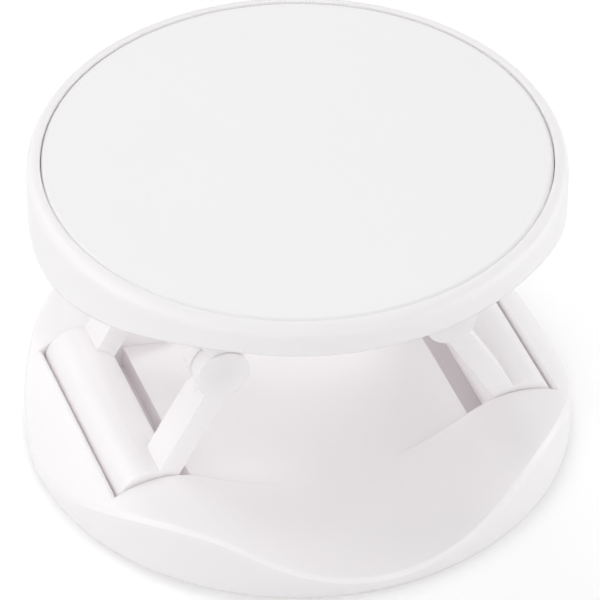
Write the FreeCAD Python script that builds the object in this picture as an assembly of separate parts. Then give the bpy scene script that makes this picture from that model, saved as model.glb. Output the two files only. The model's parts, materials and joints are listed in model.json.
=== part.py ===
import FreeCAD, Part
import math
import os

# Phone grip stand: a troughed round base, two folding two-link legs and a round top plate.
# Millimetres, +Z up, popped up. The origin is the middle of the adhesive pad's underside.
# X runs from the left leg to the right leg, and Y runs along the hinge pins.

# Adhesive pad
pad_radius = 18.0
pad_thickness = 0.8

# Base, with heights taken from its own underside
base_radius = 20.9
base_height = 5.1
end_height = 0.9
crest_inset = 6.7
trough_floor = 1.1
wall_edge_cut = 0.3
pocket_rise = 8.2
pocket_skim = 0.03
pocket_edge_round = 0.4
slot_inner_gap = 1.35

# Legs, seen along Y: two links between the base hinge and the top hinge
hinge_inset = 6.0
base_hinge_height = 3.2
lower_lean = 30.0
upper_lean = 20.0
link_ratio = 0.759
fold_travel = 49.8
leg_width = 17.7
arm_width = 3.0
arm_outer = 0.5
lower_arm_inner = 1.2
lower_barrel_radius = 2.5
upper_barrel_radius = 1.35
knee_radius = 2.05

# Hinge pins
base_pin_radius = 0.65
knee_pin_radius = 0.6
top_pin_radius = 0.6
pin_seat_depth = 1.25
knee_cover = 0.5

# Top plate and its inlay, with depths taken from the top plane
top_radius = 20.0
edge_side_round = 1.0
edge_top_round = 0.75
rim_height = 2.4
channel_flat = 20.0
channel_round = 20.0
rim_land = 1.05
inlay_thickness = 0.9
inlay_edge_cut = 0.2
film_thickness = 0.1
top_skin = 0.7
top_hinge_depth = 3.2
ear_thickness = 1.7
ear_radius = 1.4

# Clearances
running_clearance = 0.05
open_pivot_clearance = 0.15
seat_clearance = 0.01
side_clearance = 0.15
barrel_clearance = 0.15
lap_clearance = 0.12
knee_gap = 2.5
groove_width = 0.08
film_margin = 0.4

# Directions, and the angle at which the round forms close, away from every cut
ORIGIN = FreeCAD.Vector(0, 0, 0)
X_AXIS = FreeCAD.Vector(1, 0, 0)
Y_AXIS = FreeCAD.Vector(0, 1, 0)
Z_AXIS = FreeCAD.Vector(0, 0, 1)
seam_angle = 35

# How far an eased edge bulges from its chord towards its corner
ease_bulge = 0.35

# The links are as long as the folded knees leave room for
lower_angle = math.radians(lower_lean)
upper_angle = math.radians(upper_lean)
folded_lower = lower_angle + math.radians(fold_travel)
base_hinge_x = base_radius - hinge_inset
lower_link = (base_hinge_x - knee_radius - knee_gap / 2) / math.sin(folded_lower)
upper_link = link_ratio * lower_link

# Places that follow from the sizes
base_bottom = pad_thickness
base_hinge_z = base_bottom + base_hinge_height
knee_x = base_hinge_x - lower_link * math.sin(lower_angle)
knee_z = base_hinge_z + lower_link * math.cos(lower_angle)
top_hinge_x = knee_x + upper_link * math.sin(upper_angle)
top_hinge_z = knee_z + upper_link * math.cos(upper_angle)
top_plane = top_hinge_z + top_hinge_depth
half_leg = leg_width / 2
half_pocket = half_leg + side_clearance
arm_inside = half_leg - arm_width
arm_middle = half_leg - arm_width / 2
pocket_end = base_hinge_x + lower_barrel_radius + barrel_clearance
pin_reach = half_pocket + pin_seat_depth
recess_radius = top_radius - rim_land
recess_depth = inlay_thickness + film_thickness
pocket_ceiling = top_plane - recess_depth - top_skin

# The base's top is one wave along X: a hollow trough that runs smoothly into a round hump at each side
crest_x = base_radius - crest_inset
hump_drop = base_height - end_height
trough_depth = base_height - trough_floor
hump_radius = (crest_inset ** 2 + hump_drop ** 2) / (2 * hump_drop)
trough_radius = (crest_x ** 2 + trough_depth ** 2) / (2 * trough_depth) - hump_radius
hump_centre = FreeCAD.Vector(crest_x, 0, base_bottom + base_height - hump_radius)
trough_centre = FreeCAD.Vector(0, 0, base_bottom + trough_floor + trough_radius)

# Folded angles: the upper link follows the lower one, so that both hinges stay in line
folded_upper = math.asin((top_hinge_x - base_hinge_x + lower_link * math.sin(folded_lower)) / upper_link)
fold_ratio = (folded_upper - upper_angle) / (folded_lower - lower_angle)
folded_gap = math.pi - folded_lower - folded_upper


def point(x, z, y=0.0):
    return FreeCAD.Vector(x, y, z)


def across(place):
    """The same place on the other side, left for right."""
    return FreeCAD.Vector(-place.x, place.y, place.z)


def line(start, end):
    return Part.makeLine(start, end)


def arc(start, middle, end):
    return Part.Arc(start, middle, end).toShape()


def on_circle(centre, radius, angle):
    """Point of a circle in the XZ plane, with the angle taken from +X towards +Z."""
    return centre + FreeCAD.Vector(radius * math.cos(angle), 0, radius * math.sin(angle))


def turned(wire):
    """A closed XZ outline turned about the upright axis."""
    solid = Part.Face(wire).revolve(ORIGIN, Z_AXIS, 360)
    solid.rotate(ORIGIN, Z_AXIS, seam_angle)
    return solid


def slab(wire, y_from, y_to):
    """A closed XZ outline carried along Y."""
    solid = Part.Face(wire).extrude(Y_AXIS * (y_to - y_from))
    solid.translate(Y_AXIS * y_from)
    return solid


def polygon_slab(corners, y_from, y_to):
    return slab(Part.makePolygon(corners + corners[:1]), y_from, y_to)


def box(x_from, x_to, y_from, y_to, z_from, z_to):
    corner = FreeCAD.Vector(x_from, y_from, z_from)
    return Part.makeBox(x_to - x_from, y_to - y_from, z_to - z_from, corner)


def bar(place, radius, y_from, y_to):
    """A round bar along Y."""
    start = FreeCAD.Vector(place.x, y_from, place.z)
    return Part.makeCylinder(radius, y_to - y_from, start, Y_AXIS)


def disc(radius, z_from, z_to):
    return Part.makeCylinder(radius, z_to - z_from, point(0, z_from), Z_AXIS)


def mirrored(shape):
    return shape.mirror(ORIGIN, X_AXIS)


def both_sides(shape):
    return [shape, mirrored(shape)]


def both_ends(shape):
    return [shape, shape.mirror(ORIGIN, Y_AXIS)]


def solid_of(shape):
    return shape.removeSplitter().Solids[0]


base_hinge = point(base_hinge_x, base_hinge_z)
knee = point(knee_x, knee_z)
top_hinge = point(top_hinge_x, top_hinge_z)


def adhesive_pad():
    return disc(pad_radius, 0, pad_thickness)


def hump_point(x):
    """The place on the hump's arc at a distance from the middle."""
    reach = x - hump_centre.x
    return point(x, hump_centre.z + math.sqrt(hump_radius ** 2 - reach ** 2))


def base_blank():
    """A round block whose top is the wave, the same all along Y, with its upper edge broken."""
    past_wall = base_radius + wall_edge_cut
    crest = point(crest_x, base_bottom + base_height)
    meet = trough_centre + (hump_centre - trough_centre) * (trough_radius / (trough_radius + hump_radius))
    outer_end = hump_point(past_wall)
    foot = point(past_wall, base_bottom - base_height)
    outline = Part.Wire([
        line(across(foot), across(outer_end)),
        arc(across(outer_end), across(crest), across(meet)),
        arc(across(meet), point(0, base_bottom + trough_floor), meet),
        arc(meet, crest, outer_end),
        line(outer_end, foot),
        line(foot, across(foot)),
    ])
    wave = slab(outline, -past_wall, past_wall)
    block = disc(base_radius, base_bottom, base_bottom + 2 * base_height)
    block.rotate(ORIGIN, Z_AXIS, seam_angle)
    block = solid_of(block.common(wave))
    return solid_of(block.makeChamfer(wall_edge_cut, wall_edges(block)))


def wall_edges(block):
    """The edges where the round wall meets the wave."""
    edges = []
    for edge in block.Edges:
        middle = edge.valueAt((edge.FirstParameter + edge.LastParameter) / 2)
        on_wall = math.hypot(middle.x, middle.y) > base_radius - wall_edge_cut / 2
        if on_wall and edge.BoundBox.ZMin > base_bottom + end_height / 2:
            edges.append(edge)
    return edges


def easing_outline(inner, corner, outer, lift, back):
    """What a corner loses when it is eased from one point to another, drawn out past the surfaces."""
    chord_middle = (inner + outer) / 2
    bend = chord_middle + (corner - chord_middle) * ease_bulge
    return Part.Face(Part.Wire([
        arc(inner, bend, outer),
        line(outer, outer + lift),
        line(outer + lift, inner + back + lift),
        line(inner + back + lift, inner + back),
        line(inner + back, inner),
    ]))


def pocket_edge_cutter():
    """Eases the pocket's long outer edge, which runs straight along the hump."""
    corner = hump_point(pocket_end)
    inner = corner - Z_AXIS * pocket_edge_round
    outer = hump_point(pocket_end + pocket_edge_round)
    face = easing_outline(inner, corner, outer, Z_AXIS * base_height, -X_AXIS * barrel_clearance)
    face.translate(-Y_AXIS * half_pocket)
    return face.extrude(Y_AXIS * 2 * half_pocket)


def pocket_cutter(above):
    """The room that the legs fold into. Its floor leaves the trough with nearly the same slope."""
    slope = math.radians(pocket_rise)
    ramp_start = on_circle(trough_centre, trough_radius, slope - math.pi / 2) + Z_AXIS * pocket_skim
    ramp_end = point(pocket_end, ramp_start.z + (pocket_end - ramp_start.x) * math.tan(slope))
    wall_top = point(pocket_end, above)
    outline = [ramp_start, ramp_end, wall_top, across(wall_top), across(ramp_end), across(ramp_start)]
    return polygon_slab(outline, -half_pocket, half_pocket)


def base():
    above = base_bottom + 2 * base_height
    slot_start = base_hinge_x - lower_barrel_radius - slot_inner_gap
    slot_floor = base_hinge_z - lower_barrel_radius - barrel_clearance
    slot = box(slot_start, pocket_end, -half_pocket, half_pocket, slot_floor, above)
    pin_hole = bar(base_hinge, base_pin_radius + seat_clearance, -pin_reach, pin_reach)
    pocket = pocket_cutter(above).fuse(both_sides(slot)).removeSplitter()
    body = base_blank().cut(pocket)
    body = body.cut(both_sides(pocket_edge_cutter()))
    return solid_of(body.cut(both_sides(pin_hole)))


def link_frame(start, end):
    """The way along a link, and the way square to it that points outward, away from the middle."""
    along = (end - start).normalize()
    outward = FreeCAD.Vector(abs(along.z), 0, -along.x * math.copysign(1, along.z))
    return along, outward


def plain_arm(start, end, start_inner, end_inner, y_from, y_to):
    """A flat arm between two hinges, a little outside the hinge line and further inside it."""
    along, outward = link_frame(start, end)
    return polygon_slab([
        start + outward * arm_outer,
        end + outward * arm_outer,
        end - outward * end_inner,
        start - outward * start_inner,
    ], y_from, y_to)


def relieved_arm(start, end, start_inner, end_inner, y_from, y_to):
    """An arm that stops at the other arm's knee eye, bevelled to clear that arm when folded."""
    along, outward = link_frame(start, end)
    reach = arm_outer + lap_clearance
    bevel = (arm_outer * math.cos(folded_gap) + reach) / math.sin(folded_gap)
    arm = polygon_slab([
        start + outward * arm_outer,
        end - along * bevel + outward * arm_outer,
        end - outward * reach / math.cos(folded_gap),
        end - outward * end_inner,
        start - outward * start_inner,
    ], y_from, y_to)
    return arm.cut(bar(end, knee_radius + lap_clearance, y_from - lap_clearance, y_to + lap_clearance))


def lower_leg():
    """A hinge barrel with two arms, whose knee eyes are the outer halves of the knees."""
    lap = arm_middle + lap_clearance / 2
    eye = bar(knee, knee_radius, lap, half_leg)
    outer_half = plain_arm(base_hinge, knee, lower_arm_inner, lower_arm_inner, lap, half_leg)
    inner_half = relieved_arm(base_hinge, knee, lower_arm_inner, lower_arm_inner, arm_inside, lap)
    arm = eye.fuse([outer_half, inner_half])
    pin_hole = bar(knee, knee_pin_radius + seat_clearance, lap, half_leg - knee_cover)
    barrel = bar(base_hinge, lower_barrel_radius, -half_leg, half_leg)
    bore = bar(base_hinge, base_pin_radius + running_clearance, -half_leg, half_leg)
    leg = barrel.fuse(both_ends(arm.cut(pin_hole)))
    return solid_of(leg.cut(bore))


def upper_leg(pivot_clearance):
    """Two arms whose knee eyes are the inner halves of the knees, with a barrel at the top hinge."""
    lap = arm_middle - lap_clearance / 2
    eye = bar(knee, knee_radius, arm_inside, lap)
    inner_half = plain_arm(top_hinge, knee, upper_barrel_radius, knee_radius, arm_inside, lap)
    outer_half = relieved_arm(top_hinge, knee, upper_barrel_radius, knee_radius, lap, half_leg)
    arm = eye.fuse([inner_half, outer_half])
    pin_hole = bar(knee, knee_pin_radius + running_clearance, arm_inside, lap)
    barrel = bar(top_hinge, upper_barrel_radius, -half_leg, half_leg)
    bore = bar(top_hinge, top_pin_radius + pivot_clearance, -half_leg, half_leg)
    leg = barrel.fuse(both_ends(arm.cut(pin_hole)))
    return solid_of(leg.cut(bore))


def base_pin():
    return bar(base_hinge, base_pin_radius, -pin_reach, pin_reach)


def top_pin():
    return bar(top_hinge, top_pin_radius, -pin_reach, pin_reach)


def knee_pin():
    """A pin held in the lower leg's eye, with the upper leg's eye turning on it."""
    return bar(knee, knee_pin_radius, arm_inside, half_leg - knee_cover)


def channel_cutter():
    """The finger channel under the plate: a flat ceiling that arches down at both sides."""
    half_flat = channel_flat / 2
    ceiling_z = top_plane - rim_height
    past_wall = top_radius + rim_land - half_flat
    sweep = math.asin(past_wall / channel_round)
    flat_end = point(half_flat, ceiling_z)
    arch_centre = flat_end - Z_AXIS * channel_round
    arch_bend = on_circle(arch_centre, channel_round, math.pi / 2 - sweep / 2)
    arch_end = on_circle(arch_centre, channel_round, math.pi / 2 - sweep)
    below = point(arch_end.x, arch_end.z - channel_round)
    outline = Part.Wire([
        line(across(flat_end), flat_end),
        arc(flat_end, arch_bend, arch_end),
        line(arch_end, below),
        line(below, across(below)),
        line(across(below), across(arch_end)),
        arc(across(arch_end), across(arch_bend), across(flat_end)),
    ])
    return slab(outline, -2 * top_radius, 2 * top_radius)


def hinge_ear():
    """A rounded ear that hangs from the plate and holds one end of a top pin."""
    ear_end = half_pocket + ear_thickness
    x_from = top_hinge_x - ear_radius
    x_to = top_hinge_x + ear_radius
    web = box(x_from, x_to, half_pocket, ear_end, top_hinge_z, pocket_ceiling)
    return web.fuse(bar(top_hinge, ear_radius, half_pocket, ear_end))


def top_plate():
    """A round plate with a recess for its inlay. Its wall is deepest at the left and the right."""
    deepest = top_plane - rim_height - channel_round
    half_bend = math.pi / 4
    round_change = edge_side_round - edge_top_round
    edge_height = edge_top_round + round_change * math.sin(half_bend)
    wall_top = point(top_radius, top_plane - edge_height)
    side_centre = wall_top - X_AXIS * edge_side_round
    side_bend = on_circle(side_centre, edge_side_round, half_bend / 2)
    edge_middle = on_circle(side_centre, edge_side_round, half_bend)
    top_centre = on_circle(side_centre, round_change, half_bend)
    top_bend = on_circle(top_centre, edge_top_round, 3 * half_bend / 2)
    edge_end = top_centre + Z_AXIS * edge_top_round
    plate = turned(Part.Wire([
        line(point(0, deepest), point(top_radius, deepest)),
        line(point(top_radius, deepest), wall_top),
        arc(wall_top, side_bend, edge_middle),
        arc(edge_middle, top_bend, edge_end),
        line(edge_end, point(0, top_plane)),
        line(point(0, top_plane), point(0, deepest)),
    ]))
    plate = plate.cut(channel_cutter())
    pocket_reach = top_hinge_x + upper_barrel_radius + barrel_clearance
    pocket = box(-pocket_reach, pocket_reach, -half_pocket, half_pocket, deepest, pocket_ceiling)
    recess = disc(recess_radius, top_plane - recess_depth, top_plane + recess_depth)
    plate = plate.cut([pocket, recess])
    for ear in both_ends(hinge_ear()):
        plate = plate.fuse(both_sides(ear))
    pin_hole = bar(top_hinge, top_pin_radius + seat_clearance, -pin_reach, pin_reach)
    return solid_of(plate.cut(both_sides(pin_hole)))


def inlay_disc():
    radius = recess_radius - groove_width
    underside = top_plane - inlay_thickness
    return turned(Part.makePolygon([
        point(0, underside),
        point(radius, underside),
        point(radius, top_plane - inlay_edge_cut),
        point(radius - inlay_edge_cut, top_plane),
        point(0, top_plane),
        point(0, underside),
    ]))


def inlay_film():
    radius = recess_radius - groove_width - film_margin
    return disc(radius, top_plane - recess_depth, top_plane - inlay_thickness)


shapes = {
    "adhesive_pad": adhesive_pad(),
    "base": base(),
    "top_plate": top_plate(),
    "inlay_film": inlay_film(),
    "inlay_disc": inlay_disc(),
}
pivots = {"right": open_pivot_clearance, "left": running_clearance}
for side, pivot_clearance in pivots.items():
    front_pin, rear_pin = reversed(both_ends(knee_pin()))
    pieces = {
        "lower_leg": lower_leg(),
        "upper_leg": upper_leg(pivot_clearance),
        "base_pin": base_pin(),
        "knee_pin_front": front_pin,
        "knee_pin_rear": rear_pin,
        "top_pin": top_pin(),
    }
    for name, piece in pieces.items():
        shapes[side + "_" + name] = piece if side == "right" else mirrored(piece)

os.makedirs("parts", exist_ok=True)
for name, shape in shapes.items():
    print(name, len(shape.Solids), shape.isValid(), round(shape.Volume, 2))
    shape.exportStep("parts/" + name + ".step")
print("upper leg's turn for each degree of the lower leg's fold:", round(fold_ratio, 6))
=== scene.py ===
# %% [markdown]
# # A phone grip stand, dressed in Blender
# The real thing is a small pop-up grip that sticks to the back of a phone. A troughed base carries two
# folding legs, and the legs carry a round top plate with a flush inlay. Everything that shows is moulded
# white plastic, so its looks depend on soft edges, a fine satin grain and gentle light.
# The solids come ready made and already stand in their right places. This lesson leaves their shapes alone
# and gives them edges, finishes, a stage, lamps and a camera.

# %% Open the frame
import json
import math

import bpy
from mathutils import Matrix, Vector

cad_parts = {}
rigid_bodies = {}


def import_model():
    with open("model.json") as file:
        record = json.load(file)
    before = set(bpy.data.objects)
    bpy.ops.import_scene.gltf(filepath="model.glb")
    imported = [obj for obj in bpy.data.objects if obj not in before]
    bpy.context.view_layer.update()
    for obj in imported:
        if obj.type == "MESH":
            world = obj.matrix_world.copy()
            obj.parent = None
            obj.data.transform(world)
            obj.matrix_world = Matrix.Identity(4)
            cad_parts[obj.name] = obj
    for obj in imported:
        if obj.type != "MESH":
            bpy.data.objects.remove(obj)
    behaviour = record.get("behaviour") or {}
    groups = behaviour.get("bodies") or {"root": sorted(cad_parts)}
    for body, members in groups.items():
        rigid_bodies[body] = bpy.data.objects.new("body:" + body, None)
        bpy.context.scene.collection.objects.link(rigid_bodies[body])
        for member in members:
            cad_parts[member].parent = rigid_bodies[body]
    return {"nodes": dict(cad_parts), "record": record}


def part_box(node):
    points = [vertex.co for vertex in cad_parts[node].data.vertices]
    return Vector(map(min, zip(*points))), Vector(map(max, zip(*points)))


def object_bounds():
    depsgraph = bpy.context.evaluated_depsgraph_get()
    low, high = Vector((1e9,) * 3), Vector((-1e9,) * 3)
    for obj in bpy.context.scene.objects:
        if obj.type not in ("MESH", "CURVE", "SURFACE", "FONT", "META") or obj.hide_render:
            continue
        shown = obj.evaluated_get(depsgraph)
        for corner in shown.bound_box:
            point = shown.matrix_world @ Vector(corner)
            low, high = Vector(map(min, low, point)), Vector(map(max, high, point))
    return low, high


for leftover in list(bpy.data.objects):
    bpy.data.objects.remove(leftover)
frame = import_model()
nodes = frame["nodes"]
cad_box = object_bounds()
mm = 0.001
print("box in mm:", [[round(c / mm, 2) for c in corner] for corner in cad_box])

# %% [markdown]
# ## Small helpers for node trees
# A finish is a tree of nodes. Three helpers keep the cells below short: one adds a node and fills in its
# values, one links nodes by the names of their sockets, and one opens an empty group with named sockets,
# which several finishes can then share.


# %% Node helpers
def add_node(tree, kind, values=None, **settings):
    """A new node with its settings, and with the given values on its input sockets."""
    node = tree.nodes.new(kind)
    for name, setting in settings.items():
        setattr(node, name, setting)
    for socket, value in (values or {}).items():
        node.inputs[socket].default_value = value
    return node


def join(tree, *links):
    """Links between nodes, each given as (node, its output, next node, its input)."""
    for node, output, next_node, socket in links:
        tree.links.new(node.outputs[output], next_node.inputs[socket])


def new_group(name, inputs, outputs):
    """An empty group and its two ends, from inputs {name: (kind, default)} and outputs {name: kind}."""
    tree = bpy.data.node_groups.new(name, "ShaderNodeTree")
    for socket, (kind, default) in inputs.items():
        made = tree.interface.new_socket(socket, in_out="INPUT", socket_type=kind)
        made.default_value = default
    for socket, kind in outputs.items():
        tree.interface.new_socket(socket, in_out="OUTPUT", socket_type=kind)
    return tree, tree.nodes.new("NodeGroupInput"), tree.nodes.new("NodeGroupOutput")


print("node helpers ready")

# %% [markdown]
# ## Moulded grain
# The mould for such a part is spark eroded, which leaves a very fine, even grain on the plastic. It is too
# small to see as bumps, but it breaks up the shine. Under it lies a slow unevenness from the way the plastic
# shrinks as it cools. Bump from a picture would need an unwrap, so two noise textures in the object's own
# coordinates do it: they keep their size on every piece and travel with it when it moves.


# %% Moulded grain group
def moulded_grain():
    """Masks for the fine grain and for the slow sinking, from their sizes in millimetres."""
    tree, start, end = new_group(
        "moulded grain",
        {"Grain Size": ("NodeSocketFloat", 0.1), "Sink Size": ("NodeSocketFloat", 8.0)},
        {"Grain": "NodeSocketFloat", "Sink": "NodeSocketFloat"},
    )
    place = add_node(tree, "ShaderNodeTexCoord")
    for size, mask, detail in (("Grain Size", "Grain", 3.0), ("Sink Size", "Sink", 1.0)):
        per_metre = add_node(tree, "ShaderNodeMath", {0: 1 / mm}, operation="DIVIDE")
        noise = add_node(tree, "ShaderNodeTexNoise", {"Detail": detail, "Roughness": 0.55})
        join(tree,
             (start, size, per_metre, 1),
             (place, "Object", noise, "Vector"),
             (per_metre, "Value", noise, "Scale"),
             (noise, "Fac", end, mask))
    return tree


grain_group = moulded_grain()
print("group:", grain_group.name, [s.name for s in grain_group.interface.items_tree])

# %% [markdown]
# ## Soft edges
# No moulded edge is sharp: each has a radius of a tenth of a millimetre or two, and that narrow band is what
# catches the light along the arms and round the rims. The Bevel node bends the shading over each edge by a
# stated radius. Where the bent direction differs from the surface's own, there is an edge, and that
# difference makes a mask for the slight polish that edges get from handling.


# %% Soft edge group
def soft_edge():
    """A direction that is bent over the edges, and a mask of the edges, from their radius in millimetres."""
    tree, start, end = new_group(
        "soft edge",
        {"Radius": ("NodeSocketFloat", 0.2)},
        {"Normal": "NodeSocketVector", "Edge": "NodeSocketFloat"},
    )
    metres = add_node(tree, "ShaderNodeMath", {1: mm}, operation="MULTIPLY")
    bevel = add_node(tree, "ShaderNodeBevel", samples=6)
    surface = add_node(tree, "ShaderNodeNewGeometry")
    likeness = add_node(tree, "ShaderNodeVectorMath", operation="DOT_PRODUCT")
    edge = add_node(tree, "ShaderNodeMapRange", {"From Min": 1.0, "From Max": 0.75})
    join(tree,
         (start, "Radius", metres, 0),
         (metres, "Value", bevel, "Radius"),
         (bevel, "Normal", likeness, 0),
         (surface, "Normal", likeness, 1),
         (likeness, "Value", edge, "Value"),
         (bevel, "Normal", end, "Normal"),
         (edge, "Result", end, "Edge"))
    return tree


edge_group = soft_edge()
print("group:", edge_group.name, [s.name for s in edge_group.interface.items_tree])

# %% [markdown]
# ## What every finish starts from
# Each finish is a material with one shader, and its colour wanders between two near shades, because no real
# surface has one flat colour. Three more helpers open a material, place a group in it and mix two shades.


# %% Material helpers
def open_material(name):
    """A new material, its node tree and its shader."""
    material = bpy.data.materials.new(name)
    material.use_nodes = True
    tree = material.node_tree
    return material, tree, tree.nodes["Principled BSDF"]


def add_group(tree, group, values):
    """A shared group, placed in a tree with values of its own."""
    return add_node(tree, "ShaderNodeGroup", values, node_tree=group)


def two_shades(tree, first, second):
    """A mix of two colours, whose factor is linked later."""
    return add_node(tree, "ShaderNodeMix", {"A": (*first, 1), "B": (*second, 1)}, data_type="RGBA")


print("material helpers ready")

# %% [markdown]
# ## A finish for moulded plastic
# The satin body and the matt inlay are built alike: two near shades that the slow unevenness mixes, a
# roughness that the grain varies and the edges lower, and a bump from the grain. One function holds that
# build, and each finish passes its own shades and sizes.
# Light also goes a little way into white plastic before it comes out again, which softens the shading at
# corners and along thin arms. That haze is the shader's subsurface part. Its three radii are equal, so that
# it adds no colour of its own.

# %% Plastic builder
plastic_ior = 1.47
haze_depth = 0.8
edge_polish = 0.12
grain_strength = 0.25


def moulded_plastic(name, shades, roughness, grain, grain_depth, sink, edge_radius, haze=0.0):
    """A plastic finish: two shades, (smoothest, roughest), sizes in millimetres, and a share of haze."""
    material, tree, plastic = open_material(name)
    plastic.inputs["IOR"].default_value = plastic_ior
    plastic.inputs["Subsurface Weight"].default_value = haze
    plastic.inputs["Subsurface Radius"].default_value = (1, 1, 1)
    plastic.inputs["Subsurface Scale"].default_value = haze_depth * mm
    texture = add_group(tree, grain_group, {"Grain Size": grain, "Sink Size": sink})
    edges = add_group(tree, edge_group, {"Radius": edge_radius})
    tint = two_shades(tree, *shades)
    rough = add_node(tree, "ShaderNodeMapRange", {"To Min": roughness[0], "To Max": roughness[1]})
    polish = add_node(tree, "ShaderNodeMath", {1: edge_polish}, operation="MULTIPLY")
    worn = add_node(tree, "ShaderNodeMath", operation="SUBTRACT")
    bump = add_node(tree, "ShaderNodeBump", {"Strength": grain_strength, "Distance": grain_depth * mm})
    join(tree,
         (texture, "Sink", tint, "Factor"),
         (tint, "Result", plastic, "Base Color"),
         (texture, "Grain", rough, "Value"),
         (edges, "Edge", polish, 0),
         (rough, "Result", worn, 0),
         (polish, "Value", worn, 1),
         (worn, "Value", plastic, "Roughness"),
         (texture, "Grain", bump, "Height"),
         (edges, "Normal", bump, "Normal"),
         (bump, "Normal", plastic, "Normal"))
    return material


print("plastic builder ready")

# %% [markdown]
# ## The two whites
# Base, legs and top plate are one satin white with a trace of pink in it. The inlay is a brighter and more
# neutral white, duller and with a coarser grain. At first sight only its fine groove tells the two apart.
# The shades were settled by setting renders beside the photograph.

# %% Satin body and matt inlay
satin_white = moulded_plastic(
    "satin_white_plastic", ((0.918, 0.895, 0.902), (0.930, 0.908, 0.915)), (0.38, 0.5),
    grain=0.09, grain_depth=0.006, sink=9.0, edge_radius=0.12, haze=0.6)
inlay_white = moulded_plastic(
    "matt_white_inlay", ((0.937, 0.930, 0.932), (0.948, 0.941, 0.943)), (0.5, 0.62),
    grain=0.14, grain_depth=0.008, sink=6.0, edge_radius=0.22)
print("plastics:", satin_white.name, inlay_white.name)

# %% [markdown]
# ## Ground steel pins
# The hinge pins are cut from ground wire, so their fine scratches run round the pin. A wave that only
# changes along the pin's length, which is Y here, gives such rings. A little noise keeps them uneven.


# %% Steel pins
def ground_steel():
    """Bare metal with fine, uneven rings round Y."""
    material, tree, steel = open_material("ground_steel")
    steel.inputs["Metallic"].default_value = 1.0
    place = add_node(tree, "ShaderNodeTexCoord")
    rings = add_node(tree, "ShaderNodeTexWave", {"Scale": 900.0, "Distortion": 6.0, "Detail": 3.0},
                     wave_type="BANDS", bands_direction="Y")
    shade = two_shades(tree, (0.60, 0.60, 0.61), (0.74, 0.74, 0.75))
    rough = add_node(tree, "ShaderNodeMapRange", {"To Min": 0.22, "To Max": 0.4})
    join(tree,
         (place, "Object", rings, "Vector"),
         (rings, "Fac", shade, "Factor"),
         (rings, "Fac", rough, "Value"),
         (shade, "Result", steel, "Base Color"),
         (rough, "Result", steel, "Roughness"))
    return material


pin_steel = ground_steel()
print("pins:", pin_steel.name)

# %% [markdown]
# ## Adhesive pad and film
# The pad under the base is tacky foam: a dull, slightly warm grey with open cells a third of a millimetre
# wide. Voronoi cells give the pores. The film under the inlay is clear adhesive, which only its edge could
# show, so it is a smooth pale finish whose shade wanders a little.

# %% Foam and film
cells_per_metre = 3200.0
cell_depth = 0.05


def tacky_foam():
    """Dull foam whose pores are darker, rougher and lower than the walls between them."""
    material, tree, foam = open_material("tacky_foam")
    place = add_node(tree, "ShaderNodeTexCoord")
    pores = add_node(tree, "ShaderNodeTexVoronoi", {"Scale": cells_per_metre})
    shade = two_shades(tree, (0.66, 0.65, 0.62), (0.80, 0.79, 0.77))
    rough = add_node(tree, "ShaderNodeMapRange", {"To Min": 0.95, "To Max": 0.7})
    bump = add_node(tree, "ShaderNodeBump", {"Strength": 0.6, "Distance": cell_depth * mm})
    join(tree,
         (place, "Object", pores, "Vector"),
         (pores, "Distance", shade, "Factor"),
         (shade, "Result", foam, "Base Color"),
         (pores, "Distance", rough, "Value"),
         (rough, "Result", foam, "Roughness"),
         (pores, "Distance", bump, "Height"),
         (bump, "Normal", foam, "Normal"))
    return material


pad_foam = tacky_foam()
film_clear = moulded_plastic(
    "adhesive_film", ((0.80, 0.79, 0.75), (0.86, 0.85, 0.82)), (0.12, 0.2),
    grain=0.5, grain_depth=0.002, sink=4.0, edge_radius=0.02)
print("under the base:", pad_foam.name, "under the inlay:", film_clear.name)

# %% [markdown]
# ## Dress the solids
# The record names a material slot for each solid, so the finish follows from that name and nothing is
# assigned by hand.

# %% Assign finishes
finish_of = {
    "white_plastic": satin_white,
    "inlay": inlay_white,
    "hinge_pin": pin_steel,
    "adhesive_pad": pad_foam,
    "adhesive_film": film_clear,
}
for subpart in frame["record"]["subparts"]:
    piece = nodes[subpart["node"]]
    piece.data.materials.clear()
    piece.data.materials.append(finish_of[subpart["material_slot"]])
print("dressed:", len(nodes), "solids in", len(finish_of), "finishes")

# %% [markdown]
# ## What shows as white
# The photograph is a cut-out on pure white. A floor and a world that are bright enough to look pure white
# would also throw too much light on the grip. So a mask picks out the rays that come straight from the
# camera, and only for them are the two made brighter. Rays by way of a reflection or of clear glass are in
# the mask too, so that a shiny pin mirrors the same white.


# %% Mask of direct rays
def seen_directly(tree):
    """A mask of rays that come straight from the camera, or by way of a reflection or clear glass."""
    path = add_node(tree, "ShaderNodeLightPath")
    mirrored = add_node(tree, "ShaderNodeMath", operation="MAXIMUM")
    either = add_node(tree, "ShaderNodeMath", operation="MAXIMUM")
    join(tree,
         (path, "Is Camera Ray", mirrored, 0),
         (path, "Is Glossy Ray", mirrored, 1),
         (mirrored, "Value", either, 0),
         (path, "Is Transmission Ray", either, 1))
    return either


print("mask ready for the floor and the world")

# %% [markdown]
# ## The stage
# A floor under the pad gives the light that bounces up under the rim, and it takes the soft shadow. The
# camera sees it a little brighter than it is lit, which makes it white around the grip. Further out, where
# the lamps no longer reach, it fades away into the backdrop, so no horizon shows from a low side.
# It is clear from below and open under the pad, so that the underside can be looked at too. It lies a hair
# below the pad, because two faces at the same height would flicker.

# %% Floor
floor_half_width = 0.5
floor_drop = 0.02
floor_shade = (0.82, 0.82, 0.82, 1)
floor_glow = 0.3
hole_share = 0.97


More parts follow.
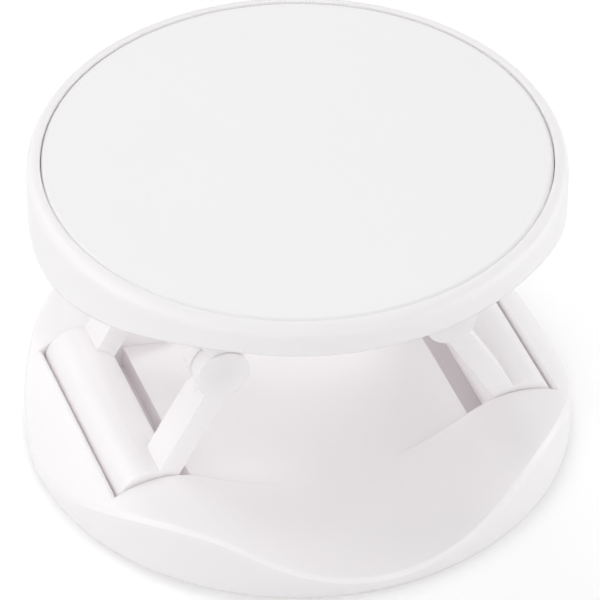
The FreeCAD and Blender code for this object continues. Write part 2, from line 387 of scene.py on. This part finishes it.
def stage_floor(half_width):
    """A square plate about the middle."""
    mesh = bpy.data.meshes.new("floor")
    corners = [(-half_width, -half_width, 0), (half_width, -half_width, 0),
               (half_width, half_width, 0), (-half_width, half_width, 0)]
    mesh.from_pydata(corners, [], [(0, 1, 2, 3)])
    made = bpy.data.objects.new("floor", mesh)
    bpy.context.collection.objects.link(made)
    return made


def pale_floor_finish(open_to, fade_from, fade_to):
    """Pale paint between two distances from the middle, in metres, and clear when seen from below."""
    material, tree, paint = open_material("pale_floor")
    paint.inputs["Base Color"].default_value = floor_shade
    paint.inputs["Roughness"].default_value = 0.9
    paint.inputs["Specular IOR Level"].default_value = 0.0
    paint.inputs["Emission Strength"].default_value = floor_glow
    place = add_node(tree, "ShaderNodeTexCoord")
    reach = add_node(tree, "ShaderNodeVectorMath", operation="LENGTH")
    fade = add_node(tree, "ShaderNodeMapRange", {"From Min": fade_to, "From Max": fade_from},
                    interpolation_type="SMOOTHSTEP")
    side = add_node(tree, "ShaderNodeNewGeometry")
    above = add_node(tree, "ShaderNodeMath", operation="SUBTRACT", use_clamp=True)
    beside = add_node(tree, "ShaderNodeMath", {1: open_to}, operation="GREATER_THAN")
    painted = add_node(tree, "ShaderNodeMath", operation="MULTIPLY")
    join(tree,
         (place, "Object", reach, 0),
         (reach, "Value", fade, "Value"),
         (fade, "Result", above, 0),
         (side, "Backfacing", above, 1),
         (reach, "Value", beside, 0),
         (above, "Value", painted, 0),
         (beside, "Value", painted, 1),
         (painted, "Value", paint, "Alpha"),
         (seen_directly(tree), "Value", paint, "Emission Color"))
    return material


floor = stage_floor(floor_half_width)
floor.location.z = cad_box[0].z - floor_drop * mm
pad_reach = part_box("adhesive_pad")[1].x
floor_paint = pale_floor_finish(open_to=hole_share * pad_reach, fade_from=0.16, fade_to=0.4)
floor.data.materials.append(floor_paint)
print("floor at", round(floor.location.z / mm, 3), "mm")

# %% [markdown]
# ## The world
# The world is an even wash of light from all round, and for direct rays it is the white backdrop.
# White plastic hands on nine tenths of the light that falls on it, so in a narrow slot the light goes to and
# fro many times before it comes out. Blender follows four such bounces unless it is told otherwise, and that
# leaves the slots too dark, so the count is raised here.

# %% Wash and backdrop
white = (1, 1, 1, 1)
world = bpy.data.worlds.new("studio_wash")
world.use_nodes = True
sky = world.node_tree
wash = sky.nodes["Background"]
wash.inputs["Color"].default_value = white
wash.inputs["Strength"].default_value = 0.17
backdrop = add_node(sky, "ShaderNodeBackground", {"Color": white, "Strength": 1.0})
either_sky = add_node(sky, "ShaderNodeMixShader")
join(sky,
     (seen_directly(sky), "Value", either_sky, 0),
     (wash, "Background", either_sky, 1),
     (backdrop, "Background", either_sky, 2),
     (either_sky, "Shader", sky.nodes["World Output"], "Surface"))
bpy.context.scene.world = world
bpy.context.scene.cycles.diffuse_bounces = 24
bpy.context.scene.cycles.max_bounces = 32
print("wash:", round(wash.inputs["Strength"].default_value, 3))

# %% [markdown]
# ## Lamps
# White on white is drawn by small differences in light, so there are no hard lamps. Broad ones stand about
# the grip like the walls of a light tent: the low ones at the left and the right brighten what faces
# sideways, which leaves the hollow trough a shade darker, and the ones in front and behind fill the rims.
# Those at the left side and the left rear make the left shoulder the brightest place.

# %% Soft lamps
lamp_distance = 0.5
lamp_size = 0.3


def soft_lamp(name, azimuth, elevation, watts):
    """A square lamp that faces the grip. Azimuth 0 stands in front and -90 on the left, in degrees."""
    light = bpy.data.lights.new(name, "AREA")
    light.size = lamp_size
    light.energy = watts
    lamp = bpy.data.objects.new(name, light)
    turn = math.radians(azimuth)
    rise = math.radians(elevation)
    away = Vector((math.sin(turn) * math.cos(rise), -math.cos(turn) * math.cos(rise), math.sin(rise)))
    target = Vector((0, 0, 0.5 * cad_box[1].z))
    lamp.location = target + away * lamp_distance
    lamp.rotation_euler = (-away).to_track_quat("-Z", "Y").to_euler()
    bpy.context.collection.objects.link(lamp)
    return lamp


lamps = [
    soft_lamp("left_side", -90, 15, 0.60),
    soft_lamp("left_rear", -135, 35, 0.73),
    soft_lamp("left_front", -50, 35, 0.30),
    soft_lamp("front", -10, 25, 0.57),
    soft_lamp("front_high", -15, 66, 0.37),
    soft_lamp("right_front", 62, 15, 0.64),
    soft_lamp("right_side", 95, 15, 0.63),
    soft_lamp("rear", 165, 45, 0.55),
]
print("lamps:", [lamp.name for lamp in lamps])

# %% [markdown]
# ## Camera
# The view was fitted to the photograph: a long lens, from the left and well above, aimed at a point close to
# the grip's own axis. The lens is in millimetres on a 36 mm sensor for a square picture.

# %% Photograph's view
view_azimuth = math.radians(-20.13)
view_elevation = math.radians(39.87)
view_distance = 0.38483
aim = Vector((0.0002, 0, 0.01186))
toward = Vector((-math.sin(view_azimuth) * math.cos(view_elevation),
                 math.cos(view_azimuth) * math.cos(view_elevation),
                 -math.sin(view_elevation)))
long_lens = bpy.data.cameras.new("photo_view")
long_lens.sensor_width = 36
long_lens.lens = 306.5
long_lens.clip_start = 0.01
camera = bpy.data.objects.new("photo_view", long_lens)
camera.location = aim - toward * view_distance
camera.rotation_euler = toward.to_track_quat("-Z", "Y").to_euler()
bpy.context.collection.objects.link(camera)
bpy.context.scene.camera = camera
bpy.context.scene.view_settings.view_transform = "Standard"
print("camera at mm:", [round(c / mm, 1) for c in camera.location])
